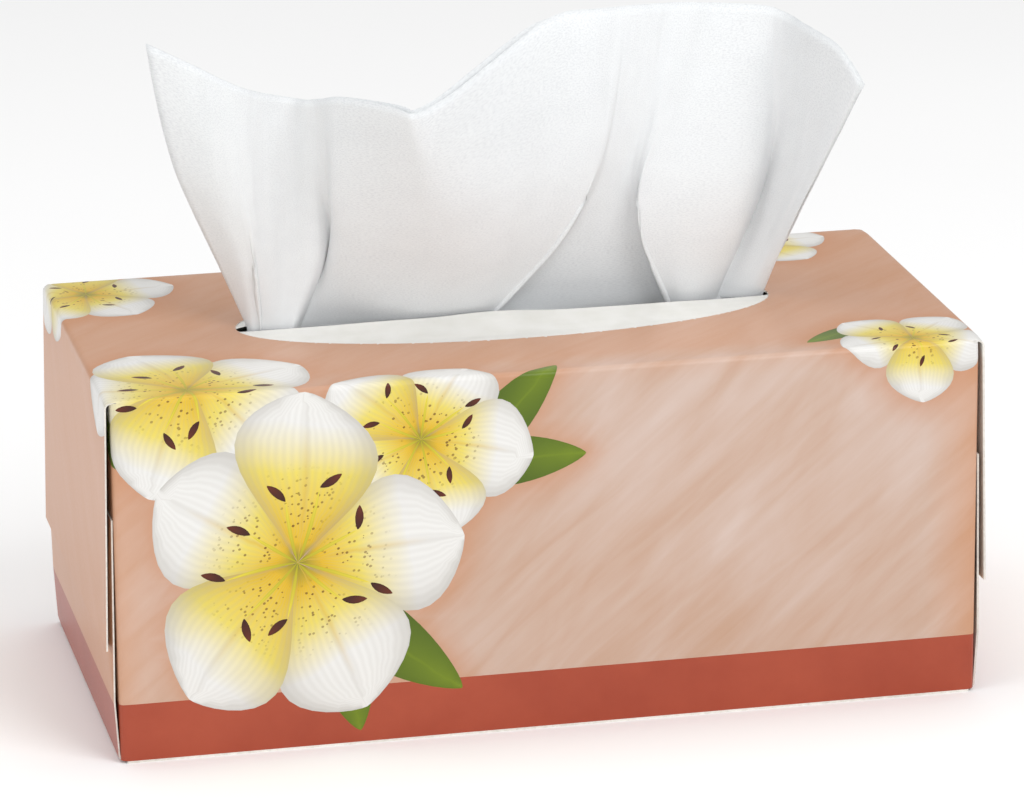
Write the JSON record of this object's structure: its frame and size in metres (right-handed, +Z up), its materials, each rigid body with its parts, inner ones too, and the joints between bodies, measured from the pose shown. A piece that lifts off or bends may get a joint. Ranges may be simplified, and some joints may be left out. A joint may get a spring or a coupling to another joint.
{
  "type": "tissue box",
  "caption": "Rectangular folded carton of facial tissues with an oval top opening, a slit film window and one raised tissue.",
  "frame": {"origin": "middle of the base, on the surface that the box stands on", "axes": "+X to the right along the long front panel, +Y from the front panel to the back, +Z up"},
  "size_m": [0.23, 0.112, 0.1727],
  "materials": {
    "printed_board": "gloss coated print outside, bare grey-white board inside",
    "window_film": "milky clear gloss",
    "tissue": "soft matt, finely creped"
  },
  "bodies": {
    "root": {"carton": "printed_board", "window_film": "window_film", "tissue_stack": "tissue", "front_ply": "tissue", "rear_ply": "tissue"}
  },
  "joints": []
}
